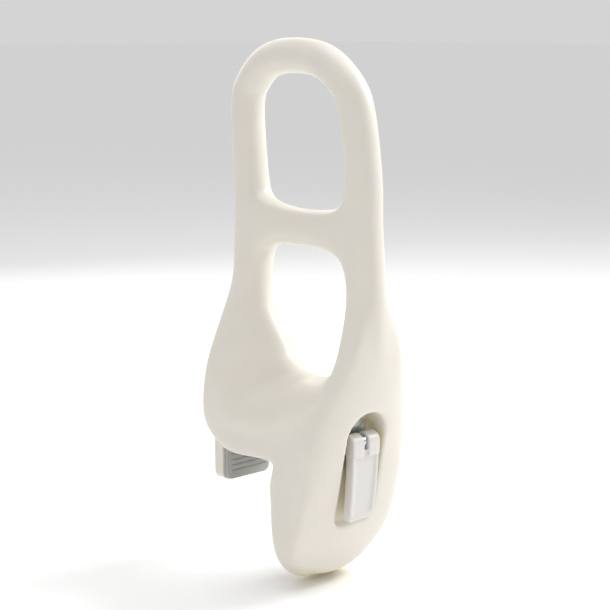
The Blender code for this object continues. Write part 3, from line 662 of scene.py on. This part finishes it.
def relax(mesh, rounds):
    """Laplacian smoothing; rounds holds how many passes each vertex takes."""
    n = len(mesh.vertices)
    co = np.empty(n * 3)
    mesh.vertices.foreach_get("co", co)
    co = co.reshape(n, 3)
    edges = np.empty(len(mesh.edges) * 2, dtype=np.int64)
    mesh.edges.foreach_get("vertices", edges)
    a, b = edges.reshape(-1, 2).T
    degree = np.bincount(a, minlength=n) + np.bincount(b, minlength=n)
    for k in range(int(rounds.max())):
        total = np.stack([np.bincount(a, co[b, i], n) + np.bincount(b, co[a, i], n) for i in range(3)], 1)
        step = (total / degree[:, None] - co) * 0.5
        step[rounds <= k] = 0.0
        co += step
    mesh.vertices.foreach_set("co", co.ravel())
    mesh.update()
    return co


def tree_of(obj):
    mesh = obj.data
    return BVHTree.FromPolygons([v.co for v in mesh.vertices], [p.vertices for p in mesh.polygons])


# ---- rail body ----------------------------------------------------------------------------------
def subdivided(name, cage, quads, levels):
    mesh = bpy.data.meshes.new(name)
    mesh.from_pydata(cage, [], quads)
    face_outwards(mesh)
    obj = add_object(name, mesh)
    surface = obj.modifiers.new("surface", "SUBSURF")
    surface.levels = levels
    surface.render_levels = levels
    return obj


def even_mesh(obj, cell):
    """Build a piece's surface anew from cells of one size, in mm."""
    remesh = obj.modifiers.new("even", "REMESH")
    remesh.mode = "VOXEL"
    remesh.voxel_size = cell * MM
    return freeze(obj)


def distances(mesh, block):
    """How far each vertex lies from a cutting block, in mm and at most FAR; the block is used up."""
    tree = tree_of(block)
    bpy.data.objects.remove(block, do_unlink=True)
    hits = [tree.find_nearest(vertex.co, FAR * MM) for vertex in mesh.vertices]
    return np.array([hit[3] / MM if hit[0] else FAR for hit in hits])


def back_onto_form(body, near_recess, near_pocket):
    """Soften the cut body, then carry its surface back onto the smooth form away from the cuts."""
    co = relax(body.data, np.where(near_recess < LIP_REACH, LIP_ROUNDS, PLAIN_ROUNDS))
    weight = np.minimum((near_recess - RECESS_BLEND[0]) / RECESS_BLEND[1],
                        (near_pocket - POCKET_BLEND[0]) / POCKET_BLEND[1])
    weight = np.clip(weight, 0.0, 1.0)
    weight = weight * weight * (3 - 2 * weight)
    smooth = freeze(subdivided("smooth", *body_cage(), FORM_LEVELS))
    form = tree_of(smooth)
    bpy.data.objects.remove(smooth, do_unlink=True)
    for i in np.nonzero(weight > 0)[0]:
        hit = form.find_nearest(Vector(co[i]), FORM_REACH * MM)
        if hit[0]:
            co[i] += (np.array(hit[0]) - co[i]) * weight[i]
    body.data.vertices.foreach_set("co", co.ravel())
    body.data.update()


def body_hollow():
    """The air inside the body: the stations' own mesh moved in by the wall's thickness, less the recess
    and the pocket with their walls.

    It isn't rounded like the surface outside. So the wall is thinner in the windows' tight corners, and
    at the near arm, just above the crossbar and just below it, the hollow comes through the surface."""
    points, quads = station_mesh()
    mesh = bpy.data.meshes.new("hollow")
    mesh.from_pydata(points, [], quads)
    bm = bmesh.new()
    bm.from_mesh(mesh)
    bmesh.ops.recalc_face_normals(bm, faces=bm.faces)
    bm.normal_update()
    for vertex in bm.verts:
        vertex.co -= vertex.normal * SHELL * MM
    bm.to_mesh(mesh)
    bm.free()
    hollow = add_object("hollow", mesh)
    cut(hollow, recess_block("recess_wall", SHELL), pocket_block("pocket_wall", SHELL))
    return freeze(hollow)


def build_body():
    body = subdivided("rail_shell", *body_cage(), SHELL_LEVELS)
    cut(body, recess_block("recess", 0.0), pocket_block("pocket", 0.0))
    freeze(body)
    even_mesh(body, BODY_CELL)
    near_recess = distances(body.data, recess_block("near_recess", 0.0))
    near_pocket = distances(body.data, pocket_block("near_pocket", 0.0))
    back_onto_form(body, near_recess, near_pocket)
    body.data.materials.clear()
    body.data.materials.append(CREAM)
    cut(body, body_hollow(), prism("bush_hole", circle(0, ROD_Z, BUSH_R + GAP, 40), "Y", -100.0, -70.0),
        prism("block_hole", slab(GUIDE_BLOCK, GAP, 2), "Y", 0.0, 50.0),
        prism("saddle_pad_seat", slab(SADDLE_PAD, PAD_ROOM), "Z", -20.0, PAD_SEAT_Z),
        prism("leg_pad_seat", slab(LEG_PAD, PAD_ROOM), "Y", LEG_BACK_Y, -30.0))
    for k, (x, z) in enumerate(SCREW_PLACES):
        cut(body, prism("screw_hole_%d" % k, circle(x, z, SCREW_R + GAP, 16), "Y", 20.0, 50.0))
    freeze(body)
    return finish_piece(body, "rail", "rail_plastic", "rail_body", sharp=50.0)


# ---- clamp --------------------------------------------------------------------------------------
def build_lever():
    lever = cam_lever(WHITE)
    lever.name = "quick_release_lever"
    freeze(lever)
    even_mesh(lever, LEVER_CELL)
    relax(lever.data, np.full(len(lever.data.vertices), LEVER_ROUNDS))
    finish_piece(lever, "lever", "lever_plastic", "cam_lever", sharp=80.0)


def thread(low, high, depth, pitch):
    """Depth of a helical groove between two places along the axis."""
    def groove(angle, y, radius):
        if not low < y < high or radius < ROD_R - 0.5:
            return 0.0
        phase = (y / pitch - angle / (2 * pi)) % 1.0
        return depth * (0.5 + 0.5 * cos(2 * pi * phase))
    return groove


def build_rod():
    start = TANG_END_Y - 1.0
    profile = [(0, start), (ROD_R - 0.5, start), (ROD_R, start + 0.5)]
    profile += [(ROD_R, 30.0 + 0.3 * k) for k in range(200)]     # fine enough to carry the thread
    profile += [(ROD_R, ROD_END_Y - 0.8), (ROD_R - 0.8, ROD_END_Y), (0, ROD_END_Y)]
    groove = thread(THREAD_LOW_Y, THREAD_HIGH_Y, THREAD_DEPTH, THREAD_PITCH)
    rod = spun("pull_rod", profile, STEEL, steps=40, twist=groove)
    finish_piece(rod, "rod", "zinc_steel", "clamp_rod")
    eye = circle(PIVOT_Y, ROD_Z, 5.0, 48)
    tang = prism("pull_rod_eye", eye, "X", -TANG_HALF, TANG_HALF, STEEL)
    unite(tang, prism("tang", rounded_box(PIVOT_Y, TANG_END_Y, ROD_Z - 3.8, ROD_Z + 3.8, 1.0, 3), "X",
                      -TANG_HALF, TANG_HALF))
    cut(tang, prism("tang_hole", circle(PIVOT_Y, ROD_Z, PIN_R + 0.1, 40), "X", -5.0, 5.0))
    freeze(tang)
    finish_piece(freeze(soften(tang, 0.35)), "rod", "zinc_steel", "clamp_rod")
    clip = turned("end_clip", [(ROD_R + GAP, CLIP_Y), (6.0, CLIP_Y), (6.3, CLIP_Y + 0.3), (6.3, CLIP_Y + 1.1),
                               (6.0, CLIP_Y + 1.4), (ROD_R + GAP, CLIP_Y + 1.4)], STEEL)
    cut(clip, prism("clip_mouth", rounded_box(-1.6, 1.6, ROD_Z + 2.0, ROD_Z + 9.0, 0.4), "Y", 86.0, 92.0))
    finish_piece(freeze(clip), "rod", "zinc_steel", "rod_end_clip")
    pin = prism("pivot_pin", circle(PIVOT_Y, ROD_Z, PIN_R, 40), "X", -14.6, 14.6, STEEL)
    finish_piece(freeze(soften(pin, 0.4)), "lever", "zinc_steel", "lever_pivot_pin")


def build_front_guide():
    flange_y = RECESS_FLOOR_Y - GAP
    low = flange_y - BUSH_FLANGE
    bush = turned("flanged_bush", [(ROD_R + RUN, low), (10.1, low), (10.5, low + 0.4), (10.5, flange_y),
                                   (BUSH_R, flange_y), (BUSH_R, BUSH_END_Y - 0.6), (BUSH_R - 0.5, BUSH_END_Y),
                                   (ROD_R + RUN, BUSH_END_Y)], NYLON)
    finish_piece(bush, "rail", "nylon", "front_bushing")
    wear = prism("wear_plate", slab(WEAR_PLATE, 0.0, 6), "Y", PIVOT_Y + CAM_CLOSED + CAM_CLEARANCE,
                 low - GAP, STEEL)
    cut(wear, prism("wear_bore", circle(0, ROD_Z, ROD_R + 0.7, 40), "Y", -110.0, -80.0))
    freeze(wear)
    finish_piece(freeze(soften(wear, 0.3)), "rail", "zinc_steel", "cam_wear_plate")
    low, high = BUSH_END_Y + GAP, BLOCK_END_Y - GAP
    edge = 0.4
    tube = turned("spacer_tube", [(TUBE_INNER_R, low + edge), (TUBE_INNER_R + edge, low),
                                  (TUBE_OUTER_R - edge, low), (TUBE_OUTER_R, low + edge),
                                  (TUBE_OUTER_R, high - edge), (TUBE_OUTER_R - edge, high),
                                  (TUBE_INNER_R + edge, high), (TUBE_INNER_R, high - edge)], STEEL)
    finish_piece(tube, "rail", "zinc_steel", "crush_tube")


def build_guide_block():
    top = POCKET_FLOOR_Y + GAP + FLANGE_THICK
    block = prism("guide_block", slab(GUIDE_FLANGE, 0.0, 6), "Y", POCKET_FLOOR_Y + GAP, top, NYLON)
    unite(block, prism("block_inner", slab(GUIDE_BLOCK, 0.0, 4), "Y", BLOCK_END_Y, POCKET_FLOOR_Y + 1.0))
    cut(block, prism("rod_hole", circle(0, ROD_Z, ROD_R + RUN, 40), "Y", 0.0, 50.0))
    for k, x in enumerate((-GUIDE_X, GUIDE_X)):
        cut(block, prism("pin_hole_%d" % k, circle(x, GUIDE_Z, GUIDE_R + GAP, 32), "Y", 0.0, 50.0))
        cut(block, prism("lightening_%d" % k, rounded_box(min(x, x / 2.0) - 2.0, max(x, x / 2.0) + 2.0,
                                                          17.5, 27.0, 2.0), "Y", 0.0, POCKET_FLOOR_Y - 2.0))
    for k, (x, z) in enumerate(SCREW_PLACES):
        cut(block, prism("flange_hole_%d" % k, circle(x, z, SCREW_R + GAP, 20), "Y", 20.0, 50.0))
    freeze(block)
    finish_piece(freeze(soften(block, 0.4, 2)), "rail", "nylon", "rear_guide_block")
    seat = top + GAP
    for k, (x, z) in enumerate(SCREW_PLACES):
        shank = [(0, 22.0), (0.4, 22.0), (SCREW_R - 0.3, 23.5)]
        shank += [(SCREW_R - (0.32 if j % 2 else 0.0), 24.0 + 0.5 * j) for j in range(24)]
        head = [(SCREW_R, seat), (SCREW_HEAD_R, seat), (SCREW_HEAD_R, seat + 0.6),
                (SCREW_HEAD_R * 0.8, seat + 1.15), (1.0, seat + 1.4), (0, seat + 1.4)]
        screw = spun("block_screw_%d" % (k + 1), shank + head, STEEL, x, z, 32)
        for j, (half, tall) in enumerate(((1.5, 0.32), (0.32, 1.5))):
            cut(screw, prism("drive_%d_%d" % (k, j), rounded_box(x - half, x + half, z - tall, z + tall, 0.1),
                             "Y", seat + 0.5, seat + 3.0))
        finish_piece(freeze(screw), "rail", "zinc_steel", "guide_block_screw_%d" % (k + 1), sharp=30.0)


def build_jaw():
    jaw = prism("jaw_plate", slab(JAW_PLATE, 0.0, 8), "Y", JAW_FRONT_Y, JAW_BACK_Y, NYLON)
    for low, high in ((-32.0, -16.0), (-12.0, 9.0)):
        for left, right in ((-22.0, -2.0), (2.0, 22.0)):
            cut(jaw, prism("jaw_hollow", rounded_box(left, right, low, high, 3.0, 5), "Y", JAW_BACK_Y - 6.0,
                           JAW_BACK_Y + 5.0))
    cut(jaw, prism("jaw_bore", circle(0, ROD_Z, ROD_R + RUN, 40), "Y", 30.0, 80.0))
    for x in (-GUIDE_X, GUIDE_X):
        cut(jaw, prism("jaw_pin_hole", circle(x, GUIDE_Z, GUIDE_R + GAP, 32), "Y", 30.0, JAW_BACK_Y - 2.0))
    freeze(jaw)
    finish_piece(freeze(soften(jaw, 1.0, 4)), "jaw", "nylon", "inner_jaw")
    end = JAW_BACK_Y - 2.0 - GAP
    profile = [(0, GUIDE_END_Y), (GUIDE_R - 0.8, GUIDE_END_Y), (GUIDE_R, GUIDE_END_Y + 1.4),
               (GUIDE_R, end - 0.4), (GUIDE_R - 0.4, end), (0, end)]
    for side, x in (("left", -GUIDE_X), ("right", GUIDE_X)):
        pin = spun("guide_pin_" + side, profile, STEEL, x, GUIDE_Z, 40)
        finish_piece(pin, "jaw", "zinc_steel", "jaw_guide_pin_" + side)
    low = JAW_BACK_Y + GAP
    washer = turned("knob_washer", [(ROD_R + RUN, low), (8.8, low), (9.0, low + 0.2), (9.0, low + 1.3),
                                    (8.8, low + 1.5), (ROD_R + RUN, low + 1.5)], STEEL)
    finish_piece(washer, "jaw", "zinc_steel", "thrust_washer")


def build_knob():
    steps = KNOB_LOBES * 24
    rings = [(KNOB_LOW_Y, -1.6), (KNOB_LOW_Y + 0.5, -0.5), (KNOB_LOW_Y + 1.6, 0.0), (KNOB_HIGH_Y - 2.6, 0.0),
             (KNOB_HIGH_Y - 1.1, -0.6), (KNOB_HIGH_Y - 0.3, -1.9), (KNOB_HIGH_Y, -3.4)]
    points = []
    for y, inset in rings:
        for k in range(steps):
            angle = 2 * pi * k / steps
            radius = KNOB_R - LOBE_DEPTH + LOBE_DEPTH * cos(KNOB_LOBES * angle) + inset
            points.append((radius * sin(angle), y, ROD_Z + radius * cos(angle)))
    faces = [list(range(steps)), [steps * (len(rings) - 1) + k for k in range(steps)]]
    for a in range(0, steps * (len(rings) - 1), steps):
        faces += [[a + k, a + (k + 1) % steps, a + steps + (k + 1) % steps, a + steps + k]
                  for k in range(steps)]
    knob = mesh_object("hand_knob", points, faces, NYLON)
    cut(knob, prism("knob_bore", circle(0, ROD_Z, NUT_R + 0.1, 48), "Y", 50.0, 90.0))
    finish_piece(freeze(knob), "knob", "nylon", "adjusting_knob")
    nut_low, nut_high = KNOB_LOW_Y + GAP, KNOB_HIGH_Y - GAP
    nut = turned("insert_nut", [(ROD_R + 0.4, nut_low + 0.5), (ROD_R + 0.9, nut_low), (NUT_R - 0.3, nut_low),
                                (NUT_R, nut_low + 0.3), (NUT_R, nut_high - 0.3), (NUT_R - 0.3, nut_high),
                                (ROD_R + 0.9, nut_high), (ROD_R + 0.4, nut_high - 0.5)], BRASS)
    finish_piece(nut, "knob", "brass", "knob_insert_nut")


def ribbed_pad(name, shape, axis, low, high, face_high, node, body):
    """A rubber pad with rounded edges and grooves across its contact face."""
    pad = prism(name, slab(shape, 0.0, 8), axis, low, high, RUBBER)
    half, start, end, _ = shape
    count = int((end - start - 8.0) / GROOVE_PITCH)
    for k in range(count):
        v = (start + end) / 2 + (k - (count - 1) / 2) * GROOVE_PITCH
        groove = rounded_box(-half + 5.0, half - 5.0, v - GROOVE_HALF, v + GROOVE_HALF, 0.6, 3)
        span = (high - GROOVE_DEPTH, high + 2.0) if face_high else (low - 2.0, low + GROOVE_DEPTH)
        cut(pad, prism(name + "_groove", groove, axis, *span))
    freeze(pad)
    finish_piece(freeze(soften(pad, 0.35, 2)), body, "rubber", node)


build_body()
build_lever()
build_rod()
build_front_guide()
build_guide_block()
build_jaw()
build_knob()
ribbed_pad("saddle_grip", SADDLE_PAD, "Z", 0.0, PAD_SEAT_Z - GAP, False, "saddle_pad", "rail")
ribbed_pad("leg_grip", LEG_PAD, "Y", LEG_BACK_Y + GAP, LEG_FACE_Y, True, "leg_pad", "rail")
ribbed_pad("jaw_grip", JAW_PAD, "Y", JAW_FACE_Y, JAW_FRONT_Y - GAP, False, "jaw_pad", "jaw")


# ---- stage, in metres ---------------------------------------------------------------------------
FLOOR_HALF = 40.0
FLOOR_Z = -0.106                          # just below the leg's foot
CENTRE = (0.0, -0.03, 0.13)               # what the lights point at
CAMERA_PLACE = (-0.894, -1.006, 0.368)
CAMERA_AIM = (0.6665, 0.7247, -0.1754)


def area_light(name, place, target, size, watts, colour=(1.0, 1.0, 1.0)):
    light = bpy.data.lights.new(name, "AREA")
    light.size = size
    light.energy = watts
    light.color = colour
    obj = bpy.data.objects.new(name, light)
    obj.location = place
    obj.rotation_euler = (Vector(target) - Vector(place)).to_track_quat("-Z", "Y").to_euler()
    bpy.context.scene.collection.objects.link(obj)


def lay_floor():
    mesh = bpy.data.meshes.new("floor")
    corners = [(x * FLOOR_HALF, y * FLOOR_HALF, FLOOR_Z) for x, y in ((-1, -1), (1, -1), (1, 1), (-1, 1))]
    mesh.from_pydata(corners, [], [(0, 1, 2, 3)])
    look = moulded("floor_look", (0.965, 0.965, 0.965), 0.6, grain=60.0, mottle=0.004)
    add_object("floor", mesh, look)


def place_lights():
    area_light("key", (1.35, -0.50, 1.20), CENTRE, 0.7, 25.0, (1.0, 0.995, 0.985))
    area_light("top", (0.0, 0.1, 1.7), CENTRE, 0.9, 7.0)
    area_light("fill", (-1.5, -0.5, 0.3), CENTRE, 1.2, 1.5, (1.0, 0.98, 0.95))
    area_light("back", (0.5, 1.4, 0.8), CENTRE, 1.0, 5.0)
    world = bpy.data.worlds.new("studio")
    bpy.context.scene.world = world
    world.use_nodes = True
    background = world.node_tree.nodes["Background"]
    background.inputs["Color"].default_value = (0.97, 0.97, 0.97, 1.0)
    background.inputs["Strength"].default_value = 0.68


def place_camera():
    data = bpy.data.cameras.new("camera")
    data.lens = 91.5
    data.sensor_width = 36.0
    data.clip_start = 0.01
    camera = bpy.data.objects.new("camera", data)
    camera.location = CAMERA_PLACE
    camera.rotation_euler = Vector(CAMERA_AIM).to_track_quat("-Z", "Y").to_euler()
    bpy.context.scene.collection.objects.link(camera)
    bpy.context.scene.camera = camera


lay_floor()
place_lights()
place_camera()
bpy.context.scene.view_settings.view_transform = "Standard"
